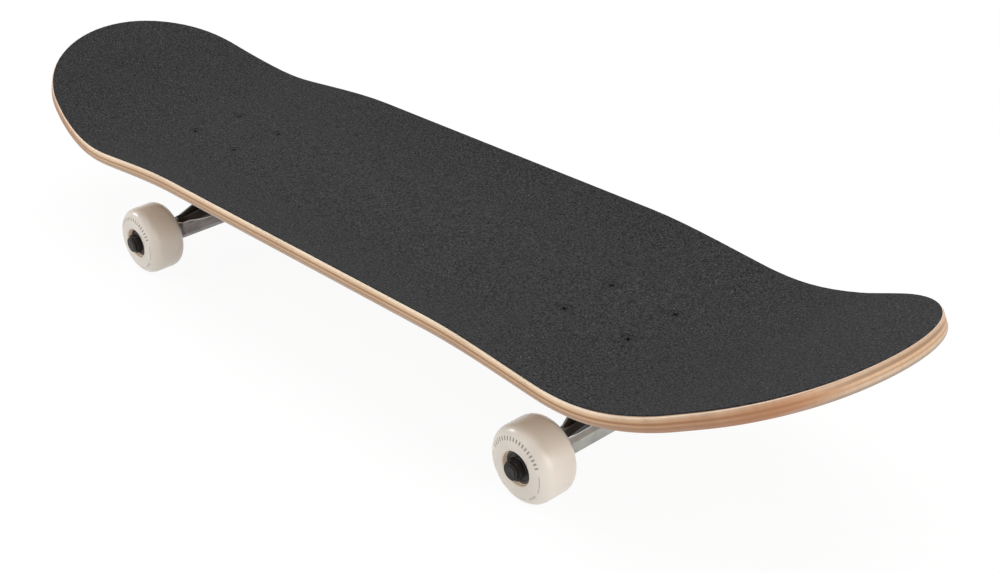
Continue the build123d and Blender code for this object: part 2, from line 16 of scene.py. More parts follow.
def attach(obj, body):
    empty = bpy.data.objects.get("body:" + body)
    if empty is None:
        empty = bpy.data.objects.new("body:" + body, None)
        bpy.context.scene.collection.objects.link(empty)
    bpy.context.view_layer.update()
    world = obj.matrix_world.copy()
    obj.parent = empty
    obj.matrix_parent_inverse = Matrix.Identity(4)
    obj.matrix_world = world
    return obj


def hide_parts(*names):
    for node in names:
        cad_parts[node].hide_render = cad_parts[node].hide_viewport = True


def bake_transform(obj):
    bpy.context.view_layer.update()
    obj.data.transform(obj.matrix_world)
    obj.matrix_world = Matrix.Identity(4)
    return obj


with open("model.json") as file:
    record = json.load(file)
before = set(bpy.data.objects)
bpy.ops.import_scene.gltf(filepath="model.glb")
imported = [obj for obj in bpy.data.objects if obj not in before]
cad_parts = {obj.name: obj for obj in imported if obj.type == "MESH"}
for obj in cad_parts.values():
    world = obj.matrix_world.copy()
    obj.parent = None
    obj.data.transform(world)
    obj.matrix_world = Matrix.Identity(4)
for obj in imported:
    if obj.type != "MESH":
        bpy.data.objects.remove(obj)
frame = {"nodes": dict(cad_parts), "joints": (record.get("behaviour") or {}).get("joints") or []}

Array = np.ndarray
Piece = bpy.types.Object

LOG = logging.getLogger("skateboard")
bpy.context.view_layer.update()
MERGE_DISTANCE = 1e-6
BLOTCHES_PER_METRE = 95
CAST_SKIN_PER_METRE = 1400
CAST_RELIEF = 0.00012
BLOTCH_BLEND = (0.3, 0.72)
SMEAR_BLEND = (0.35, 0.75)


class End(Enum):
    """The two ends of the board, with the direction of X that each lies in."""

    NOSE = 1
    TAIL = -1


class Side(Enum):
    """The two sides of the board, with the direction of Y that each lies in."""

    LEFT = 1
    RIGHT = -1


@dataclass(frozen=True)
class Colour:
    """A colour as a screen shows it, with channels from 0 to 255."""

    red: float
    green: float
    blue: float

    def linear(self) -> tuple[float, float, float, float]:
        """The colour in linear light, by the screen's own curve.

        Returns:
            Three channels and a full alpha, as shader sockets take them.
        """
        share = np.array([self.red, self.green, self.blue]) / 255
        light = np.where(share <= 0.04045, share / 12.92, ((share + 0.055) / 1.055) ** 2.4)
        return (*light.tolist(), 1.0)


WHITE = Colour(255, 255, 255)


def operator(operation: str, turned: bool = False) -> Callable[..., "Value"]:
    """Method of a value that adds one Math node.

    Args:
        operation: Name of the Math node's operation.
        turned: Whether the value stands on the right of the other operand.

    Returns:
        The method.
    """

    def method(value: "Value", *others: "Value | float") -> "Value":
        """Result of the operation on the value and the other operands."""
        operands = (*others, value) if turned else (value, *others)
        return value.graph.node("ShaderNodeMath", {"operation": operation}, dict(enumerate(operands)))

    return method


class Value:
    """A shader socket in Python arithmetic: every operation on it adds a Math node."""

    __add__ = operator("ADD")
    __radd__ = operator("ADD", True)
    __sub__ = operator("SUBTRACT")
    __rsub__ = operator("SUBTRACT", True)
    __mul__ = operator("MULTIPLY")
    __rmul__ = operator("MULTIPLY", True)
    __lt__ = operator("LESS_THAN")
    __gt__ = operator("GREATER_THAN")
    __abs__ = operator("ABSOLUTE")
    fraction = operator("FRACT")
    larger = operator("MAXIMUM")

    def __init__(self, graph: "Graph", socket: bpy.types.NodeSocket) -> None:
        """Wrap an output socket of a graph."""
        self.graph = graph
        self.socket = socket

    def step(self, low: float, high: float) -> "Value":
        """Smooth rise from zero at low to one at high, or a fall where low is the larger."""
        inputs = {"Value": self, "From Min": low, "From Max": high}
        return self.graph.node("ShaderNodeMapRange", {"interpolation_type": "SMOOTHSTEP"}, inputs)

    def between(self, low: float, high: float) -> "Value":
        """Straight rise from low at zero to high at one."""
        return low + (high - low) * self


class Graph:
    """The node tree of a material or of the world."""

    def __init__(self, owner: bpy.types.Material | bpy.types.World) -> None:
        """Open a node tree, with the nodes that it starts with.

        Args:
            owner: The material or the world.
        """
        owner.use_nodes = True
        self.tree = owner.node_tree
        self.starters = {node.type: node for node in self.tree.nodes}

    def feed(self, socket: bpy.types.NodeSocket, source: "Value | float | tuple | Colour") -> None:
        """Set a socket, or link a value to it.

        Args:
            socket: Input socket.
            source: What it gets.
        """
        if isinstance(source, Value):
            self.tree.links.new(source.socket, socket)
        else:
            socket.default_value = source.linear() if isinstance(source, Colour) else source

    def node(self, kind: str, settings: dict, inputs: dict, output: int | str = 0) -> Value:
        """Add any node.

        Args:
            kind: Type of the node.
            settings: Its own settings, with a ramp's stops as "stops".
            inputs: What its sockets get, by name or number.
            output: Name or number of the socket that is wanted.

        Returns:
            The wanted output.
        """
        node = self.tree.nodes.new(kind)
        for name, setting in settings.items():
            if name == "stops":
                self.set_stops(node.color_ramp, setting)
            else:
                setattr(node, name, setting)
        for key, source in inputs.items():
            self.feed(node.inputs[key], source)
        return Value(self, node.outputs[output])

    @staticmethod
    def set_stops(ramp: bpy.types.ColorRamp, stops: Iterable[tuple[float, Colour]]) -> None:
        """Give a colour ramp its stops.

        Args:
            ramp: The ramp, which starts with two stops.
            stops: Places and colours, in rising order.
        """
        for index, (place, colour) in enumerate(stops):
            element = ramp.elements[index] if index < len(ramp.elements) else ramp.elements.new(place)
            element.position = place
            element.color = colour.linear()

    def place(self, stretch: tuple = (1, 1, 1)) -> Value:
        """Place on the object, with a scale for each axis."""
        here = self.node("ShaderNodeTexCoord", {}, {}, "Object")
        return self.node("ShaderNodeMapping", {}, {"Vector": here, "Scale": stretch})

    def part(self, vector: Value, axis: int) -> Value:
        """One of a vector's three numbers."""
        return self.node("ShaderNodeSeparateXYZ", {}, {0: vector}, axis)

    def noise(self, per_metre: float, octaves: float, stretch: tuple = (1, 1, 1)) -> Value:
        """Cloudy noise from zero to one, by its waves to the metre, with a scale for each axis."""
        inputs = {"Vector": self.place(stretch), "Scale": per_metre, "Detail": octaves}
        return self.node("ShaderNodeTexNoise", {}, inputs)

    def mix(self, share: Value | float, first: Value | Colour, second: Value | Colour) -> Value:
        """Blend of two colours, by the share of the second."""
        return self.node("ShaderNodeMix", {"data_type": "RGBA"}, {0: share, 6: first, 7: second}, 2)

    def bump(self, height: Value, depth: float, strength: float) -> Value:
        """Normal of a surface with fine relief, whose depth in metres is that of a height of one."""
        inputs = {"Height": height, "Distance": depth, "Strength": strength}
        return self.node("ShaderNodeBump", {}, inputs)

    def surface(self, **sockets: Value | float | tuple | Colour) -> None:
        """Feed the Principled shader: base_color goes to its socket Base Color, and so on.

        Args:
            sockets: What each socket gets, by its name.
        """
        for name, source in sockets.items():
            words = " ".join(word if word == "IOR" else word.capitalize() for word in name.split("_"))
            self.feed(self.starters["BSDF_PRINCIPLED"].inputs[words], source)

    def seen(self) -> Value:
        """Which rays show the studio as white.

        Returns:
            One for rays from the camera, off bright surfaces and through clear ones, zero for the rest.
        """
        kinds = ("Is Camera Ray", "Is Glossy Ray", "Is Transmission Ray")
        camera, glossy, clear = (self.node("ShaderNodeLightPath", {}, {}, kind) for kind in kinds)
        return camera.larger(glossy).larger(clear)


class Finish:
    """A finish that a piece can be dressed in."""

    name: str

    def paint(self, graph: Graph) -> None:
        """Build the finish in the graph of a new material."""
        raise NotImplementedError


@lru_cache(maxsize=None)
def material_of(finish: Finish) -> bpy.types.Material:
    """Material of a finish, made once.

    Args:
        finish: The finish.

    Returns:
        Its material.
    """
    material = bpy.data.materials.new(finish.name)
    finish.paint(Graph(material))
    return material


@dataclass(frozen=True)
class GritFinish(Finish):
    """Black abrasive sheet: dark grains, with a few smoother ones that carry a painted highlight."""

    name: str = "grip_grit"
    shade: Colour = Colour(27, 27, 28)
    grain: Colour = Colour(60, 60, 61)
    painted_glint: Colour = Colour(118, 118, 121)
    grains_per_metre: float = 800.0
    glints_per_metre: float = 1100.0
    wear_per_metre: float = 9.0
    glint_peaks: tuple = (0.66, 0.74)
    shine: float = 0.12
    relief: float = 0.0003

    def paint(self, graph: Graph) -> None:
        """Blend two greys by fine noise, and paint a lighter highlight, with lower roughness, where a second
        noise peaks.

        Args:
            graph: Graph of a new material.
        """
        grains = graph.noise(self.grains_per_metre, 3)
        glints = graph.noise(self.glints_per_metre, 1).step(*self.glint_peaks)
        worn = graph.noise(self.wear_per_metre, 3).step(0.3, 0.75)
        colour = graph.mix(grains.step(0.3, 0.7), self.shade, self.grain)
        # Lighter colour on the peaks of the second noise: a painted highlight. The lower roughness there is
        # real.
        colour = graph.mix(glints * worn.between(0.3, 0.6), colour, self.painted_glint)
        graph.surface(
            base_color=colour,
            roughness=glints.between(0.94, 0.7),
            specular_IOR_level=self.shine,
            normal=graph.bump(grains, self.relief, 0.55),
        )


@dataclass(frozen=True)
class PlyFinish(Finish):
    """Pressed maple: stripes of veneer by their depth, grain, painted shade where the rim turns diagonally,
    and painted shade in the bolt holes.
    """

    name: str = "pressed_maple"
    share: str = "ply"
    # Side colours by depth from the top. The pale top band is partly the maple and partly a painted
    # highlight of the rounded top edge. The colours grow darker and greyer towards the bottom edge.
    side_stripes_and_highlight: tuple = (
        (0.00, Colour(234, 214, 190)), (0.07, Colour(232, 212, 187)), (0.17, Colour(237, 213, 184)),
        (0.20, Colour(222, 191, 158)), (0.30, Colour(213, 179, 143)), (0.36, Colour(204, 168, 131)),
        (0.40, Colour(164, 125, 86)), (0.50, Colour(146, 106, 70)), (0.53, Colour(195, 157, 121)),
        (0.63, Colour(194, 159, 126)), (0.68, Colour(163, 130, 101)), (0.76, Colour(160, 131, 105)),
        (0.80, Colour(177, 152, 130)), (0.90, Colour(170, 150, 132)), (0.98, Colour(150, 135, 120)),
        (1.00, Colour(190, 155, 118)),
    )
    end_stripes: tuple = (
        (0.00, Colour(168, 146, 118)), (0.12, Colour(160, 136, 110)), (0.18, Colour(148, 121, 92)),
        (0.24, Colour(133, 101, 70)), (0.32, Colour(138, 105, 74)), (0.38, Colour(157, 122, 90)),
        (0.41, Colour(188, 152, 118)), (0.52, Colour(180, 146, 114)), (0.55, Colour(154, 122, 91)),
        (0.61, Colour(159, 128, 98)), (0.65, Colour(178, 150, 122)), (0.76, Colour(176, 152, 126)),
        (0.82, Colour(147, 128, 109)), (0.98, Colour(136, 123, 112)), (1.00, Colour(190, 155, 118)),
    )
    streak: Colour = Colour(140, 98, 66)
    # Darker orange where the rim turns diagonally between side and tip: painted shade.
    painted_diagonal_shade: Colour = Colour(150, 97, 61)
    # Near black for the bolt holes: painted shade.
    hole: Colour = Colour(22, 21, 20)
    hole_depth: float = 2.0
    rim_depths: tuple = (1.0, 0.97)
    end_cuts: tuple = (0.6, 0.86)
    ragged_share: float = 0.02
    ragged_per_metre: float = 160.0
    ragged_stretch: tuple = (0.1, 1, 1)
    grain_per_metre: float = 420.0
    grain_stretch: tuple = (0.035, 1, 0.05)
    pores_per_metre: float = 1500.0
    pore_stretch: tuple = (0.04, 1, 0.05)
    relief: float = 0.00006

    def paint(self, graph: Graph) -> None:
        """Colour the plies by ramps for edges along and across the grain, with painted shade where the rim
        turns diagonally between them, under streaks.

        Args:
            graph: Graph of a new material.
        """
        depth = graph.node("ShaderNodeAttribute", {"attribute_name": self.share}, {}, "Fac")
        facing = graph.node("ShaderNodeTexCoord", {}, {}, "Normal")
        across = abs(graph.part(facing, 0)) * depth.step(*self.rim_depths)
        ends = across.step(*self.end_cuts)
        ragged = graph.noise(self.ragged_per_metre, 2, self.ragged_stretch) - 0.5
        ragged = depth + self.ragged_share * ragged
        ramps = (self.side_stripes_and_highlight, self.end_stripes)
        sides, tips = (graph.node("ShaderNodeValToRGB", {"stops": ramp}, {"Fac": ragged}) for ramp in ramps)
        # Share of painted shade where the rim turns diagonally between side and tip.
        diagonal_shade_share = 0.58 * across.step(0.01, 0.2) + 0.2 * across.step(0.25, 0.55)
        veneer = graph.mix(diagonal_shade_share * (1 - ends), graph.mix(ends, sides, tips), self.painted_diagonal_shade)
        grain = graph.noise(self.grain_per_metre, 4, self.grain_stretch)
        pores = graph.noise(self.pores_per_metre, 2, self.pore_stretch).step(0.58, 0.75)
        colour = graph.mix(0.22 * grain.step(0.42, 0.72) + 0.14 * pores, veneer, self.streak)
        # Painted shade in the bolt holes.
        colour = graph.mix(depth.step(1.1, self.hole_depth), colour, self.hole)
        graph.surface(
            base_color=colour,
            roughness=grain.between(0.46, 0.66),
            coat_weight=0.1,
            coat_roughness=0.35,
            normal=graph.bump(grain + 0.4 * pores, self.relief, 0.5),
        )


@dataclass(frozen=True)
class Mark:
    """One printed mark on a wheel: an arc of plain ticks, or of solid line where there are none."""

    start: float
    span: float
    inner: float = 0.0197
    outer: float = 0.0201
    ticks: int = 0


@dataclass(frozen=True)
class UrethaneFinish(Finish):
    """Cast cream urethane with plain printed ticks and arcs on the outer face, and painted light on the
    mouth's wall.
    """

    name: str = "cream_urethane"
    wrap: str = "wrap"
    body: Colour = Colour(214, 206, 195)
    tint: Colour = Colour(203, 194, 182)
    print_colour: Colour = Colour(122, 108, 98)
    # Tan colour and glow of the mouth's wall: painted light.
    warm: Colour = Colour(196, 178, 158)
    unlit: Colour = Colour(0, 0, 0)
    painted_glow: Colour = Colour(112, 100, 88)
    mouth: float = 0.0123
    mouth_fade: float = 0.0006
    radius_unit: float = 0.1
    tick_fill: float = 0.42
    edge: float = 0.00025
    clouds_per_metre: float = 38.0
    wear_per_metre: float = 900.0
    specks_per_metre: float = 1300.0
    relief: float = 0.00004
    marks: tuple = (
        Mark(0.00, 0.19, 0.0183, 0.0209, 9),
        Mark(0.22, 0.10),
        Mark(0.35, 0.06, 0.0190, 0.0205, 4),
        Mark(0.44, 0.12),
        Mark(0.59, 0.06, 0.0190, 0.0205, 4),
        Mark(0.68, 0.10),
        Mark(0.81, 0.19, 0.0183, 0.0209, 9),
    )

    def mask(self, turn: Value, radius: Value, mark: Mark) -> Value:
        """Share of print that one mark lays down.

        Args:
            turn: Share of a turn round the axle.
            radius: Distance from the axle in metres.
            mark: The mark.

        Returns:
            One on the print and zero off it.
        """
        ring = radius.step(mark.inner, mark.inner + self.edge)
        ring = ring * radius.step(mark.outer + self.edge, mark.outer)
        along = turn - mark.start
        arc = (along > 0) * (along < mark.span)
        if mark.ticks:
            beat = (along * (mark.ticks / mark.span)).fraction()
            arc = arc * (abs(beat - 0.5) < self.tick_fill / 2)
        return ring * arc

    def paint(self, graph: Graph) -> None:
        """Tint the urethane, lay the marks by the wheel's map, and give the mouth's wall a tan colour and a
        glow: painted light for light through the urethane.

        Args:
            graph: Graph of a new material.
        """
        wrap = graph.node("ShaderNodeUVMap", {"uv_map": self.wrap}, {})
        turn = graph.part(wrap, 0)
        radius = graph.part(wrap, 1) * self.radius_unit
        printed = 0.0
        for mark in self.marks:
            printed = printed + self.mask(turn, radius, mark)
        cloud = graph.noise(self.clouds_per_metre, 4)
        worn = graph.noise(self.wear_per_metre, 3).step(0.32, 0.5)
        specks = graph.noise(self.specks_per_metre, 2)
        # Mask of the mouth's wall, which gets painted light: a tan colour and a glow.
        wall = (radius > 0) * radius.step(self.mouth, self.mouth - self.mouth_fade)
        colour = graph.mix(0.6 * cloud.step(0.35, 0.7), self.body, self.tint)
        colour = graph.mix(printed * worn.between(0.55, 0.9), colour, self.print_colour)
        graph.surface(
            base_color=graph.mix(wall, colour, self.warm),
            roughness=cloud.between(0.28, 0.42),
            emission_color=graph.mix(wall, self.unlit, self.painted_glow),
            emission_strength=1.0,
            subsurface_weight=0.12,
            subsurface_radius=(0.004, 0.003, 0.002),
            subsurface_scale=0.5,
            coat_weight=0.5,
            coat_roughness=0.2,
            normal=graph.bump(specks, self.relief, 0.5),
        )


@dataclass(frozen=True)
class CastFinish(Finish):
    """Black painted casting: a fine skin with soft blotches."""

    name: str = "black_casting"
    body: Colour = Colour(26, 26, 27)
    blotch: Colour = Colour(38, 38, 40)
    brushed_per_metre: float = 700.0
    brushed_stretch: tuple = (1, 0.06, 1)

    def paint(self, graph: Graph) -> None:
        """Blend two shades by soft blotches, with a fine cast skin for relief.

        Args:
            graph: Graph of a new material.
        """
        blotches = graph.noise(BLOTCHES_PER_METRE, 4)
        skin = graph.noise(CAST_SKIN_PER_METRE, 3)
        brushed = graph.noise(self.brushed_per_metre, 2, self.brushed_stretch)
        graph.surface(
            base_color=graph.mix(blotches.step(*BLOTCH_BLEND), self.body, self.blotch),
            roughness=(0.6 * blotches + 0.4 * brushed).between(0.34, 0.58),
            normal=graph.bump(skin + 0.5 * brushed, CAST_RELIEF, 0.35),
        )


@dataclass(frozen=True)
class HangerFinish(Finish):
    """Cast hanger: bare below, where the axle tube is, painted above, and a painted highlight in a thin line
    between.
    """

    name: str
    axle_height: float
    bare: Colour
    blotch: Colour
    border: float = 0.0062
    border_fade: float = 0.0003
    seam: float = 0.0008
    # Near white for the line under the paint's border: a painted highlight.
    bright: Colour = Colour(246, 246, 247)
    black: Colour = Colour(20, 20, 21)
    bloom: Colour = Colour(34, 34, 36)

    def paint(self, graph: Graph) -> None:
        """Lay paint above a level over the axle, with a painted highlight along its border.

        Args:
            graph: Graph of a new material.
        """
        height = graph.part(graph.place(), 2) - self.axle_height
        painted = height.step(self.border, self.border + self.border_fade)
        # Mask of the painted highlight along the paint's border.
        seam = height.step(self.border - self.seam, self.border) * (1 - painted)
        blotches = graph.noise(BLOTCHES_PER_METRE, 4)
        skin = graph.noise(CAST_SKIN_PER_METRE, 3)
        metal = graph.mix(blotches.step(*BLOTCH_BLEND), self.bare, self.blotch)
        metal = graph.mix(seam, metal, self.bright)
        lacquer = graph.mix(blotches.step(*BLOTCH_BLEND), self.black, self.bloom)
        graph.surface(
            base_color=graph.mix(painted, metal, lacquer),
            metallic=0.5 * (1 - painted - seam),
            roughness=blotches.between(0.46, 0.66) - 0.14 * painted - 0.3 * seam,
            normal=graph.bump(skin, CAST_RELIEF, 0.35),
        )


@dataclass(frozen=True)
class Texture:
    """Smears and fine relief by their waves to the metre, and the relief's share in the roughness."""

    smears: float
    fine: float
    octaves: int
    stretch: tuple
    share: float
    relief: float


TURNED = Texture(240, 2600, 1, (0.08, 1, 0.08), 0.35, 0.00003)
MOULDED = Texture(160, 2200, 2, (1, 1, 1), 0.0, 0.00005)


@dataclass(frozen=True)
class WornFinish(Finish):
    """Turned metal with fine lines across the axle's direction, or a moulded piece with fine pits."""

    name: str
    texture: Texture
    body: Colour
    worn: Colour
    rough: tuple
    metallic: float = 0.0
    shine: float = 0.5

    def paint(self, graph: Graph) -> None:
        """Blend the body and its worn shade by smears, with the texture's fine relief.

        Args:
            graph: Graph of a new material.
        """
        smears = graph.noise(self.texture.smears, 4)
        fine = graph.noise(self.texture.fine, self.texture.octaves, self.texture.stretch)
        rough = (1 - self.texture.share) * smears + self.texture.share * fine
        graph.surface(
            base_color=graph.mix(smears.step(*SMEAR_BLEND), self.body, self.worn),
            metallic=self.metallic,
            roughness=rough.between(*self.rough),
            specular_IOR_level=self.shine,
            normal=graph.bump(fine, self.texture.relief, 0.4),
        )


@dataclass(frozen=True)
class BoltFinish(Finish):
    """Black bolts: dull heads, and painted shade, near black, on all that lies below them."""

    name: str
    head: float
    body: Colour = Colour(34, 34, 35)
    worn: Colour = Colour(48, 48, 49)
    # Near black below the heads' level: painted shade.
    painted_shade: Colour = Colour(6, 6, 6)
    recess_start: float = 0.0001
    recess_depth: float = 0.0006
    smears_per_metre: float = 420.0
    shine: float = 0.15
    relief: float = 0.00004

    def paint(self, graph: Graph) -> None:
        """Wear the heads by fine smears, and paint shade on all that lies below their level.

        Args:
            graph: Graph of a new material.
        """
        height = graph.part(graph.place(), 2)
        painted_shade_mask = height.step(self.head - self.recess_start, self.head - self.recess_depth)
        smears = graph.noise(self.smears_per_metre, 4)
        colour = graph.mix(smears.step(*SMEAR_BLEND), self.body, self.worn)
        graph.surface(
            base_color=graph.mix(painted_shade_mask, colour, self.painted_shade),
            roughness=smears.between(0.7, 0.9),
            specular_IOR_level=self.shine,
            normal=graph.bump(smears, self.relief, 0.4),
        )


# Bare metal of each hanger. The tail's copy is darker, as painted shade.
HANGER_METAL_AND_TAIL_SHADE = {
    End.NOSE: (Colour(170, 170, 165), Colour(150, 150, 145)),
    End.TAIL: (Colour(140, 136, 134), Colour(118, 115, 114)),
}
PLATED_STEEL = WornFinish(
    "plated_steel", TURNED, Colour(214, 215, 218), Colour(176, 177, 180), (0.2, 0.42), 1.0
)
BEARING_STEEL = WornFinish(
    "bearing_steel", TURNED, Colour(222, 223, 226), Colour(190, 191, 195), (0.1, 0.24), 1.0
)
SPACER_METAL = WornFinish(
    "spacer_metal", TURNED, Colour(218, 219, 221), Colour(188, 189, 191), (0.25, 0.4), 1.0
)
DARK_RING = WornFinish("dark_ring", TURNED, Colour(92, 86, 80), Colour(60, 56, 52), (0.3, 0.45), 0.3, 0.4)
DARK_STEEL = WornFinish("dark_steel", TURNED, Colour(54, 51, 48), Colour(36, 34, 32), (0.36, 0.55), 0.6, 0.3)
BLACK_STEEL = WornFinish(
    "black_steel", TURNED, Colour(20, 18, 17), Colour(31, 29, 27), (0.34, 0.58), 0.1, 0.25
)
BLACK_URETHANE = WornFinish("black_urethane", MOULDED, Colour(24, 24, 25), Colour(36, 36, 38), (0.32, 0.55))
SEAL_RUBBER = WornFinish("seal_rubber", MOULDED, Colour(20, 20, 21), Colour(31, 31, 33), (0.4, 0.62))
NYLON = WornFinish("nylon", MOULDED, Colour(222, 214, 190), Colour(206, 196, 170), (0.4, 0.6))


def mesh_piece(name: str, points: Array, close_rows: bool, close_columns: bool) -> Piece:
    """Smooth mesh over a grid of points, whose faces are turned out: its volume must not be negative.

    Args:
        name: Name of the piece.
        points: Places of the points, as rows, columns and axes.
        close_rows: Whether the last row joins the first.
        close_columns: Whether a row's end joins its start.

    Returns:
        The new object, in the scene.
    """
    flat = points.reshape(-1, 3)
    number = np.arange(len(flat)).reshape(points.shape[:2])
    number = np.pad(number, [(0, int(close_rows)), (0, int(close_columns))], "wrap")
    corners = [number[:-1, :-1], number[:-1, 1:], number[1:, 1:], number[1:, :-1]]
    quads = np.stack(corners, axis=-1).reshape(-1, 4)
    a, b, c, d = (flat[quads[:, corner]] for corner in range(4))
    volume = np.sum(a * (np.cross(b, c) + np.cross(c, d)))
    quads = quads if volume > 0 else quads[:, ::-1]
    mesh = bpy.data.meshes.new(name)
    mesh.from_pydata(flat.tolist(), [], quads.tolist())
    mesh.polygons.foreach_set("use_smooth", np.ones(len(mesh.polygons), bool))
    piece = bpy.data.objects.new(name, mesh)
    bpy.context.scene.collection.objects.link(piece)
    return piece


def merge_doubles(piece: Piece) -> None:
    """Join the points of a piece that lie in one place.

    Args:
        piece: The piece.
    """
    work = bmesh.new()
    work.from_mesh(piece.data)
    bmesh.ops.remove_doubles(work, verts=work.verts, dist=MERGE_DISTANCE)
    bmesh.ops.dissolve_degenerate(work, edges=work.edges, dist=MERGE_DISTANCE)
    work.to_mesh(piece.data)
    work.free()


def install(piece: Piece, finish: Finish, slot: str, body: str | None, *nodes: str) -> None:
    """Dress a new piece and put it in place of its nodes.

    Args:
        piece: The piece.
        finish: What it is dressed in.
        slot: The record's slot for its finish. Not used.
        body: Body that it rides on, or none where it is left unattached.
        nodes: Nodes that it stands for.
    """
    piece.data.materials.append(material_of(finish))
    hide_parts(*nodes)
    if body:
        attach(piece, body)
    LOG.info("built %s with %d faces", piece.name, len(piece.data.polygons))


def dress(prefix: str, finishes: dict[str, Finish]) -> None:
    """Give nodes of the solid model their finishes.

    Args:
        prefix: Start of the nodes' names.
        finishes: Finish of each node, by the rest of its name.
    """
    for piece, finish in finishes.items():
        slots = frame["nodes"][prefix + piece].data.materials
        slots.clear()
        slots.append(material_of(finish))
        LOG.info("dressed %s in %s", prefix + piece, finish.name)


def joint_place(name: str) -> Vector:
    """Place of one of the part's joints."""
    return Vector(next(joint["pos_m"] for joint in frame["joints"] if joint["name"] == name))


def section(*stretches: Array | list) -> Array:
    """One run of points from several stretches."""
    return np.concatenate([np.asarray(stretch, float) for stretch in stretches])


def arc(centre: tuple[float, float], radius: float, start: float, end: float, count: int) -> Array:
    """Points of an arc, two numbers each, between two angles in radians."""
    angle = np.linspace(start, end, count)
    return np.stack([centre[0] + radius * np.cos(angle), centre[1] + radius * np.sin(angle)], axis=-1)


@dataclass
class Spindle:
    """An axis that pieces are turned round: a centre, a direction, and where a turn starts."""

    centre: Vector
    axis: Vector
    start: Vector

    def turned(self, name: str, profile: Array, turns: int, closed: bool) -> Piece:
        """Smooth piece turned from a section.

        A point lies at the centre, plus its distance along the axis, plus its radius along its spoke:
        the turn's cosine times the start, plus its sine times the direction square to start and axis.

        Args:
            name: Name of the piece.
            profile: Section as the distance from the axis and the distance along it.
            turns: Number of spokes.
            closed: Whether the section's end joins its start, or both lie on the axis.

        Returns:
            The new object.
        """
        angle = np.linspace(0, 2 * math.pi, turns, endpoint=False)[:, None]
        spoke = np.cos(angle) * self.start + np.sin(angle) * self.start.cross(self.axis)
        radius = profile[None, :, :1]
        along = profile[None, :, 1:]
        place = np.array(self.centre) + spoke[:, None] * radius + np.array(self.axis) * along
        return mesh_piece(name, place, True, closed)


@dataclass(frozen=True)
class RaisedEnd:
    """Sizes of one raised end, outwards from the outer bolts: its lengths, its kick's bend and its slope."""

    length: float
    taper_length: float
    end_rise: float
    kick_gap: float
    kick_radius: float
    slope: float


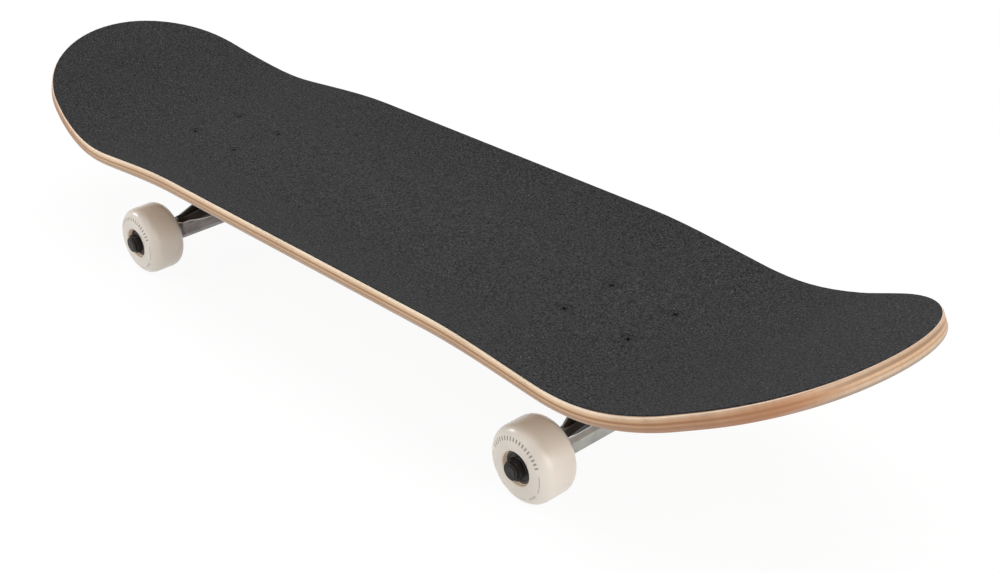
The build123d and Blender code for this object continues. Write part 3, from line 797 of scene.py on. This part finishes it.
@dataclass(frozen=True)
class Pressing:
    """The pressed shape of the board, and its outline, drawn on the slope of each raised end."""

    middle: float = -0.00915
    half_width: float = 0.1001
    flat_half: float = 0.0396
    concave_rise: float = 0.0131
    concave_start: float = 0.1421
    concave_end: float = 0.2864
    outer_bolts: float = 0.235
    tip_side_inset: float = 0.0108
    nose: RaisedEnd = RaisedEnd(0.1777, 0.1855, 0.0025, 0.0029, 0.2160, math.radians(25.2))
    tail: RaisedEnd = RaisedEnd(0.1594, 0.1694, 0.0036, 0.0066, 0.2454, math.radians(25.2))
    spacing: float = 0.003
    rounds: int = 8

    def bend(self, end: RaisedEnd, station: Array, across: Array, layer: Array) -> tuple[Array, ...]:
        """Bend points of a flat layer to the pressed shape of one half of the board.

        The middle line runs level, round the kick's arc, then straight. A section square to it has a
        flat strip and an arc on each side, whose rise fades past the trucks.

        Args:
            end: The raised end of that half.
            station: Distances outwards from the middle, along the level line.
            across: Distances to the side.
            layer: Heights over the deck's top.

        Returns:
            Distances outwards, heights, and the tilt of the sections.
        """
        reach = self.half_width - self.flat_half
        kick_start = self.outer_bolts + end.kick_gap
        kick_end = kick_start + end.kick_radius * math.sin(end.slope)
        share = np.clip((station - self.concave_start) / (self.concave_end - self.concave_start), 0, 1)
        rise = self.concave_rise + (end.end_rise - self.concave_rise) * share**2 * (3 - 2 * share)
        bow = (reach**2 + rise**2) / (2 * rise)
        aside = np.maximum(np.abs(across) - self.flat_half, 0)
        lift = bow - np.sqrt((bow - layer) ** 2 - aside**2)
        tilt = np.arcsin(np.clip((station - kick_start) / end.kick_radius, 0, math.sin(end.slope)))
        climb = end.kick_radius * (1 - np.cos(tilt))
        climb = climb + np.maximum(station - kick_end, 0) * math.tan(end.slope)
        return station - lift * np.sin(tilt), climb + lift * np.cos(tilt), tilt

    def end_outline(self, end: RaisedEnd) -> tuple[Array, Array]:
        """Half outline of an end on its own slope, from its tip to where its side is straight.

        Every point lies on the tip's arc or on the larger side arc, along its own outward direction.

        Args:
            end: The end.

        Returns:
            The points, measured from the tip, and their outward directions.
        """
        radius = self.half_width - self.tip_side_inset
        run = end.taper_length - radius
        side = (run**2 + self.half_width**2 - radius**2) / (2 * self.tip_side_inset)
        meet = math.atan2(side - self.half_width, run)
        tip_count = math.ceil(radius * meet / self.spacing)
        side_count = math.ceil(side * (math.pi / 2 - meet) / self.spacing)
        tip_angle = np.linspace(0, meet, tip_count)
        side_angle = np.linspace(meet, math.pi / 2, side_count)[1:]
        angle = section(tip_angle, side_angle)
        out = np.stack([np.cos(angle), np.sin(angle)], axis=-1)
        on_tip = np.arange(len(angle))[:, None] < tip_count
        tip_points = (-radius, 0) + radius * out
        side_points = (-end.taper_length, self.half_width - side) + side * out
        return np.where(on_tip, tip_points, side_points), out

    def end_rim(self, end: RaisedEnd, inset: Array, layer: Array) -> tuple[Array, Array]:
        """Stations of an end's rim, which is cut square to the end's slope.

        A point's station is found by Newton's steps: bent to shape and measured along the slope from
        the tip, it must lie on the outline.

        Args:
            end: The end.
            inset: Inset from the outline, for each row of the rim.
            layer: Height over the deck's top, for each row of the rim.

        Returns:
            Distances outwards along the level line and distances to the side, by point and row.
        """
        points, out = self.end_outline(end)
        tip = self.outer_bolts + end.length
        tip_x, tip_z, _ = self.bend(end, np.array(tip), np.zeros(()), np.zeros(()))
        wanted, across = np.moveaxis(points[:, None] - out[:, None] * inset[None, :, None], -1, 0)
        station = tip + wanted * math.cos(end.slope)
        for _ in range(self.rounds):
            x, z, tilt = self.bend(end, station, across, layer)
            along = (x - tip_x) * math.cos(end.slope) + (z - tip_z) * math.sin(end.slope)
            station = station - (along - wanted) * np.cos(tilt) / np.cos(end.slope - tilt)
        return station, across

    def rim(self, inset: Array, layer: Array) -> tuple[Array, Array]:
        """Closed rim, from the nose's tip round by the left side.

        Args:
            inset: Inset from the outline, for each row of the rim.
            layer: Height over the deck's top, for each row of the rim.

        Returns:
            Stations, positive to the nose, and distances to the side, by point and row.
        """
        nose, nose_across = self.end_rim(self.nose, inset, layer)
        tail, tail_across = self.end_rim(self.tail, inset, layer)
        count = math.ceil((nose[-1].max() + tail[-1].max()) / self.spacing)
        straight = np.linspace(nose[-1], -tail[-1], count)[1:-1]
        side = np.broadcast_to(self.half_width - inset, straight.shape)
        station = section(nose, straight, -tail[::-1])
        across = section(nose_across, side, tail_across[::-1])
        return section(station, station[-2:0:-1]), section(across, -across[-2:0:-1])

    def spine(self, station: Array) -> Array:
        """Nearest stations of the line between the centres of the two tips' arcs.

        Args:
            station: Stations, positive to the nose.

        Returns:
            The stations, held between the two centres.
        """
        radius = self.half_width - self.tip_side_inset
        nose = self.outer_bolts + self.nose.length - radius
        tail = self.outer_bolts + self.tail.length - radius
        return np.clip(station, -tail, nose)

    def place(self, station: Array, across: Array, layer: Array) -> Array:
        """Places of points of the pressed board, over the middle of the deck's top.

        Args:
            station: Stations, positive to the nose.
            across: Distances to the side.
            layer: Heights over the deck's top.

        Returns:
            The places, three numbers each.
        """
        nose_x, nose_z, _ = self.bend(self.nose, np.maximum(station, 0), across, layer)
        tail_x, tail_z, _ = self.bend(self.tail, np.maximum(-station, 0), across, layer)
        x = self.middle + np.where(station > 0, nose_x, -tail_x)
        return np.stack([x, across, np.where(station > 0, nose_z, tail_z)], axis=-1)


@dataclass
class Board:
    """Deck, grip and mounting hardware."""

    pressing: Pressing = field(default_factory=Pressing)
    top: float = 0.0897
    thickness: float = 0.0098
    top_edge: float = 0.001
    bottom_edge: float = 0.0022
    arc_steps: int = 7
    wall_steps: int = 8
    sheet_steps: int = 26
    bolt_rows: tuple = (-0.235, -0.181, 0.181, 0.235)
    bolt_columns: tuple = (-0.02065, 0.02065)
    hole_radii: tuple = (0.0, 0.0049, 0.0049, 0.0027, 0.0027, 0.0)
    hole_levels: tuple = (0.093, 0.093, 0.0901, 0.0879, 0.078, 0.078)
    bolt_head: float = 0.0904
    hole_turns: int = 48
    hole_reach: float = 0.0055
    body: str = "board"

    def rim_profile(self) -> tuple[Array, Array, Array]:
        """Section of the deck from the spine, over the top, round the rim and back below.

        Returns:
            For each row the inset from the outline, the depth below the top, and the share of the
            way from the rim to the spine.
        """
        quarter = np.linspace(0, math.pi / 2, self.arc_steps)
        inwards = np.linspace(0, 1, self.sheet_steps)
        low = self.thickness - self.bottom_edge
        wall = np.linspace(self.top_edge, low, self.wall_steps)[1:-1]
        sheet = np.ones(self.sheet_steps - 1)
        inset = [self.top_edge * sheet, self.top_edge * (1 - np.sin(quarter)), 0 * wall]
        inset += [self.bottom_edge * (1 - np.cos(quarter)), self.bottom_edge * sheet]
        depth = [0 * sheet, self.top_edge * (1 - np.cos(quarter)), wall]
        depth += [low + self.bottom_edge * np.sin(quarter), self.thickness * sheet]
        rim = np.zeros(2 * self.arc_steps + len(wall))
        share = [inwards[:0:-1], rim, inwards[1:]]
        return section(*inset), section(*depth), section(*share)

    def cut_holes(self, deck: Piece) -> None:
        """Cut the countersunk bolt holes through the deck, and mark them for painted shade.

        Args:
            deck: The deck without holes.
        """
        profile = np.stack([self.hole_radii, self.hole_levels], axis=-1)
        cutters = []
        for row in self.bolt_rows:
            for column in self.bolt_columns:
                centre = Vector((self.pressing.middle + row, column, 0))
                hole = Spindle(centre, Vector((0, 0, 1)), Vector((1, 0, 0)))
                cutter = hole.turned("hole_cutter", profile, self.hole_turns, False)
                merge_doubles(cutter)
                cut = deck.modifiers.new("bolt_hole", "BOOLEAN")
                cut.object = cutter
                cutters.append(cutter)
        ready = deck.evaluated_get(bpy.context.evaluated_depsgraph_get())
        mesh = bpy.data.meshes.new_from_object(ready)
        deck.modifiers.clear()
        deck.data = mesh
        for cutter in cutters:
            bpy.data.objects.remove(cutter)
        place = np.empty(3 * len(mesh.vertices), np.float32)
        mesh.vertices.foreach_get("co", place)
        x, y, _ = place.reshape(-1, 3).T
        along = np.abs(x[:, None] - self.pressing.middle - self.bolt_rows).min(axis=1)
        aside = np.abs(y[:, None] - self.bolt_columns).min(axis=1)
        ply = mesh.attributes[PlyFinish.share].data
        share = np.empty(len(mesh.vertices), np.float32)
        ply.foreach_get("value", share)
        share[np.hypot(along, aside) < self.hole_reach] = PlyFinish.hole_depth
        ply.foreach_set("value", share)

    def build_deck(self) -> None:
        """Carry the rim's section round the outline, press it to shape, and keep the depth."""
        inset, depth, share = self.rim_profile()
        station, across = self.pressing.rim(inset, -depth)
        station = station + (self.pressing.spine(station) - station) * share
        place = self.pressing.place(station, across * (1 - share), -depth)
        deck = mesh_piece("pressed_deck", place + (0, 0, self.top), True, False)
        ply = deck.data.attributes.new(PlyFinish.share, "FLOAT", "POINT")
        through = np.broadcast_to(depth / self.thickness, station.shape)
        ply.data.foreach_set("value", np.ascontiguousarray(through, np.float32).ravel())
        merge_doubles(deck)
        self.cut_holes(deck)
        install(deck, PlyFinish(), "maple", self.body, "deck")

    def build(self) -> None:
        """Build the deck and dress the rest of the board."""
        self.build_deck()
        bolts = frame["nodes"]["mounting_bolts"]
        head = bolts.matrix_world.inverted() @ Vector((0, 0, self.bolt_head))
        dress("", {"grip_tape": GritFinish()})
        dress("mounting_", {"bolts": BoltFinish("bolt_black", head.z), "nuts": BLACK_STEEL})


@dataclass(frozen=True)
class Bushing:
    """Sizes of one bushing: its ends along the kingpin from the hanger's ring, and their radii."""

    start: float
    end: float
    start_radius: float
    end_radius: float
    bore: float = 0.00485
    edge: float = 0.0012
    bulge: float = 0.0005
    wall_steps: int = 14
    edge_steps: int = 6

    def profile(self) -> Array:
        """Closed section: bore, faces with rounded edges, and a wall that bulges as half a sine wave.

        Returns:
            Points as the distance from the kingpin and the distance along it.
        """
        way = math.copysign(1, self.end - self.start)
        quarter = way * math.pi / 2
        share = np.linspace(0, 1, self.wall_steps)[1:-1]
        wall = self.start_radius + (self.end_radius - self.start_radius) * share
        wall = wall + self.bulge * np.sin(math.pi * share)
        first = (self.start_radius - self.edge, self.start + way * self.edge)
        last = (self.end_radius - self.edge, self.end - way * self.edge)
        height = first[1] + (last[1] - first[1]) * share
        return section(
            [(self.bore, self.start)],
            arc(first, self.edge, -quarter, 0, self.edge_steps),
            np.stack([wall, height], axis=-1),
            arc(last, self.edge, 0, quarter, self.edge_steps),
            [(self.bore, self.end)],
        )


@dataclass(frozen=True)
class PivotCup:
    """Sizes of the cup that the hanger's ball sits in, along the hanger's stem."""

    radius: float = 0.0085
    depth: float = 0.0085
    socket: float = 0.0063
    mouth: float = 0.003
    lip: float = 0.0006
    socket_steps: int = 14
    lip_steps: int = 5

    def profile(self) -> Array:
        """Section from the socket's floor over the lip to the cup's own floor, both on the stem's line.

        Returns:
            Points as the distance from the stem's line and the distance along it.
        """
        quarter = math.pi / 2
        rim = self.mouth - self.lip
        return section(
            arc((0, 0), self.socket, -quarter, 0, self.socket_steps),
            arc((self.socket + self.lip, rim), self.lip, 2 * quarter, quarter, self.lip_steps),
            arc((self.radius - self.lip, rim), self.lip, quarter, 0, self.lip_steps),
            arc((self.radius - self.lip, self.lip - self.depth), self.lip, 0, -quarter, self.lip_steps),
            [(0, -self.depth)],
        )


@dataclass
class Truck:
    """One truck: baseplate, kingpin with its bushings, hanger and axle, with places from the ring."""

    end: End
    board: str = "board"
    kingpin_lean: float = 28.0
    pivot: tuple = (0.0375, 0.0189889)
    axle: tuple = (0.0209, -0.0209111)
    lower: Bushing = Bushing(-0.017, -0.004, 0.01225, 0.01225)
    upper: Bushing = Bushing(0.0145, 0.004, 0.00875, 0.0115)
    cup: PivotCup = field(default_factory=PivotCup)
    turns: int = 96

    @property
    def body(self) -> str:
        """Body that the hanger's pieces ride on."""
        return self.node("truck")

    def node(self, piece: str) -> str:
        """Name of one of this truck's nodes."""
        return f"{self.end.name.lower()}_{piece}"

    def ring(self) -> Vector:
        """Centre of the hanger's ring, where the steering joint is."""
        return joint_place(self.node("steer"))

    def outwards(self, forward: float, up: float) -> Vector:
        """Vector in the truck's middle plane, forward to its end of the board and up."""
        return Vector((self.end.value * forward, 0, up))

    def build_bushings(self) -> None:
        """Turn both bushings round the kingpin."""
        lean = math.radians(self.kingpin_lean)
        axis = self.outwards(-math.sin(lean), -math.cos(lean))
        kingpin = Spindle(self.ring(), axis, Vector((0, 1, 0)))
        for name, bushing in (("bushing_lower", self.lower), ("bushing_upper", self.upper)):
            piece = kingpin.turned(self.node(f"soft_{name}"), bushing.profile(), self.turns, True)
            install(piece, BLACK_URETHANE, "black_urethane", None, self.node(name))
            self.body
            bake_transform(piece)

    def build_cup(self) -> None:
        """Turn the pivot cup round the hanger's stem."""
        pivot = self.outwards(*self.pivot)
        axle = self.outwards(*self.axle)
        stem = Spindle(self.ring() + pivot, (axle - pivot).normalized(), Vector((0, 1, 0)))
        cup = stem.turned(self.node("soft_pivot_cup"), self.cup.profile(), self.turns, False)
        merge_doubles(cup)
        install(cup, BLACK_URETHANE, "black_urethane", self.board, self.node("pivot_cup"))

    def dress(self) -> None:
        """Give the truck's solid pieces their finishes."""
        hanger = frame["nodes"][self.node("hanger")]
        axle = hanger.matrix_world.inverted() @ (self.ring() + self.outwards(*self.axle))
        finishes = {
            "baseplate": CastFinish(),
            "hanger": HangerFinish(self.node("hanger"), axle.z, *HANGER_METAL_AND_TAIL_SHADE[self.end]),
            "kingpin": PLATED_STEEL,
            "kingpin_nut": PLATED_STEEL,
            "washer_lower": PLATED_STEEL,
            "washer_upper": PLATED_STEEL,
            "axle": DARK_STEEL,
            "axle_nuts": BLACK_STEEL,
            "speed_washers": PLATED_STEEL,
        }
        dress(self.node(""), finishes)

    def build(self) -> None:
        """Build the soft pieces and dress the rest of the truck."""
        self.build_bushings()
        self.build_cup()
        self.dress()


@dataclass
class Wheel:
    """One wheel with its two bearings."""

    end: End
    side: Side
    tread: float = 0.026
    half_width: float = 0.015
    edge: float = 0.0086
    mouth: float = 0.0114
    mouth_edge: float = 0.0008
    bearing_face: float = 0.012
    seat: float = 0.01102
    core: float = 0.0085
    core_half: float = 0.005
    turns: int = 160
    edge_steps: int = 16
    mouth_steps: int = 7
    face_steps: int = 6
    sharp_angle: float = 50.0

    @property
    def name(self) -> str:
        """Name of this corner of the board."""
        return f"{self.end.name.lower()}_{self.side.name.lower()}"

    def spindle(self) -> Spindle:
        """The wheel's axis outwards from its joint, with turns from the top."""
        hub = joint_place(f"{self.name}_spin")
        return Spindle(hub, Vector((0, self.side.value, 0)), Vector((0, 0, 1)))

    def profile(self) -> Array:
        """Closed section of the wheel: tread, rounded edges, faces, mouths, bearing seats and core.

        Returns:
            Points as the distance from the axle and the distance outwards from the wheel's middle.
        """
        quarter = math.pi / 2
        tip = self.tread - self.edge
        lip = self.mouth + self.mouth_edge
        lip_centre = (lip, self.half_width - self.mouth_edge)
        face = np.linspace(lip, tip, self.face_steps + 2)[1:-1]
        half = section(
            [(self.core, 0), (self.core, self.core_half), (self.seat, self.core_half)],
            [(self.seat, self.bearing_face), (self.mouth, self.bearing_face)],
            arc(lip_centre, self.mouth_edge, 2 * quarter, quarter, self.mouth_steps),
            np.stack([face, np.full_like(face, self.half_width)], axis=-1),
            arc((tip, self.half_width - self.edge), self.edge, quarter, 0, self.edge_steps),
        )
        return section(half, [(self.tread, 0)], (half * (1, -1))[:0:-1])

    def map_corners(self, tyre: Piece, profile: Array) -> None:
        """Give the tyre a map of turn and distance, which is negative off the outer face.

        Args:
            tyre: The tyre's mesh piece.
            profile: Its section.
        """
        mesh = tyre.data
        corner = np.empty(len(mesh.loops), int)
        mesh.loops.foreach_get("vertex_index", corner)
        row, column = corner // len(profile), corner % len(profile)
        face_row = row.reshape(-1, 4)
        wraps = (face_row.max(1) == self.turns - 1) & (face_row.min(1) == 0)
        turn = np.where(np.repeat(wraps, 4) & (row == 0), self.turns, row) / self.turns
        outer = profile[column, 1] > self.half_width - self.edge
        distance = np.where(outer, profile[column, 0], -1) / UrethaneFinish.radius_unit
        layer = mesh.uv_layers.new(name=UrethaneFinish.wrap)
        layer.uv.foreach_set("vector", np.stack([turn, distance], axis=-1).astype(np.float32).ravel())

    def build(self) -> None:
        """Turn the tyre round the axle, map its corners, and dress the bearings."""
        profile = self.profile()
        tyre = self.spindle().turned(f"{self.name}_tyre", profile, self.turns, True)
        self.map_corners(tyre, profile)
        tyre.data.set_sharp_from_angle(angle=math.radians(self.sharp_angle))
        install(tyre, UrethaneFinish(), "cream_urethane", f"{self.name}_wheel_set", f"{self.name}_wheel")
        finishes = {
            "outer_rings": DARK_RING,
            "inner_rings": BEARING_STEEL,
            "shields": SEAL_RUBBER,
            "balls": BEARING_STEEL,
            "cages": NYLON,
            "spacer": SPACER_METAL,
        }
        dress(f"{self.name}_bearing_", finishes)


@dataclass(frozen=True)
class Lamp:
    """One soft square lamp: where it hangs, the length of its sides, its power, and where it points."""

    name: str
    place: tuple
    size: float
    watts: float
    aim: tuple = (0, 0, 0.05)

    def hang(self) -> None:
        """Add the lamp to the scene."""
        light = bpy.data.lights.new(self.name, "AREA")
        light.size = self.size
        light.energy = self.watts
        holder = bpy.data.objects.new(self.name, light)
        direction = Vector(self.aim) - Vector(self.place)
        turn = direction.to_track_quat("-Z", "Y").to_matrix().to_4x4()
        holder.matrix_world = Matrix.Translation(self.place) @ turn
        bpy.context.scene.collection.objects.link(holder)


@dataclass
class Studio:
    """Pale floor, soft lamps, plain world, and the camera at the photograph's angle."""

    floor_size: float = 30.0
    floor_colour: Colour = Colour(248, 248, 248)
    floor_roughness: float = 0.9
    floor_glow: float = 0.93
    world_light: float = 0.5
    lamps: tuple = (
        Lamp("top_lamp", (0.1, 0.2, 2.6), 2.4, 40, (0, 0, 0)),
        Lamp("key_lamp", (-0.9, -2.2, 1.2), 1.6, 7),
        Lamp("nose_lamp", (2.4, 0.1, 1.0), 2.0, 38),
        Lamp("tail_lamp", (-1.9, -0.86, 1.17), 0.5, 10),
    )
    eye: tuple = (0.78415, -0.6046, 0.5594)
    right: tuple = (0.6714, 0.7401, -0.0390)
    forward: tuple = (-0.6654, 0.5788, -0.4714)
    focal_pixels: float = 1577.5
    image_width: float = 1000.0
    sensor: float = 36.0
    clip_start: float = 0.01
    clip_end: float = 100.0

    def lay_floor(self) -> None:
        """Lay a pale floor that glows for the camera and still takes the board's shadow."""
        half = self.floor_size / 2
        corner = np.array([-half, half])
        x, y = np.meshgrid(corner, corner, indexing="ij")
        floor = mesh_piece("studio_floor", np.stack([x, y, np.zeros_like(x)], axis=-1), False, False)
        material = bpy.data.materials.new("studio_floor")
        graph = Graph(material)
        graph.surface(
            base_color=self.floor_colour, roughness=self.floor_roughness, specular_IOR_level=0.0
        )
        glow = graph.node("ShaderNodeEmission", {}, {"Color": WHITE, "Strength": 1.0})
        body = Value(graph, graph.starters["BSDF_PRINCIPLED"].outputs[0])
        blend = graph.node("ShaderNodeMixShader", {}, {0: self.floor_glow * graph.seen(), 1: body, 2: glow})
        graph.feed(graph.starters["OUTPUT_MATERIAL"].inputs["Surface"], blend)
        floor.data.materials.append(material)

    def light_world(self) -> None:
        """Fill the room with plain light, and show white to the camera and to bright metal."""
        world = bpy.data.worlds.new("studio_world")
        graph = Graph(world)
        background = graph.starters["BACKGROUND"]
        graph.feed(background.inputs["Color"], WHITE)
        graph.feed(background.inputs["Strength"], graph.seen().between(self.world_light, 1))
        bpy.context.scene.world = world

    def set_camera(self) -> None:
        """Set the camera where the photograph was taken, with its lens."""
        back = -Vector(self.forward).normalized()
        right = Vector(self.right)
        right = (right - right.dot(back) * back).normalized()
        up = back.cross(right)
        lens = bpy.data.cameras.new("photo_camera")
        lens.sensor_fit = "HORIZONTAL"
        lens.sensor_width = self.sensor
        lens.lens = self.focal_pixels * self.sensor / self.image_width
        lens.clip_start = self.clip_start
        lens.clip_end = self.clip_end
        camera = bpy.data.objects.new("photo_camera", lens)
        turn = Matrix((right, up, back)).transposed().to_4x4()
        camera.matrix_world = Matrix.Translation(self.eye) @ turn
        bpy.context.scene.collection.objects.link(camera)
        bpy.context.scene.camera = camera

    def build(self) -> None:
        """Set up the whole studio."""
        bpy.context.scene.view_settings.view_transform = "Standard"
        self.lay_floor()
        self.light_world()
        for lamp in self.lamps:
            lamp.hang()
        self.set_camera()


def main() -> None:
    """Build the board, its trucks and wheels and the studio."""
    logging.basicConfig(level=logging.INFO, format="%(message)s")
    Board().build()
    for end in End:
        Truck(end).build()
        for side in Side:
            Wheel(end, side).build()
    Studio().build()


if __name__ == "__main__":
    main()
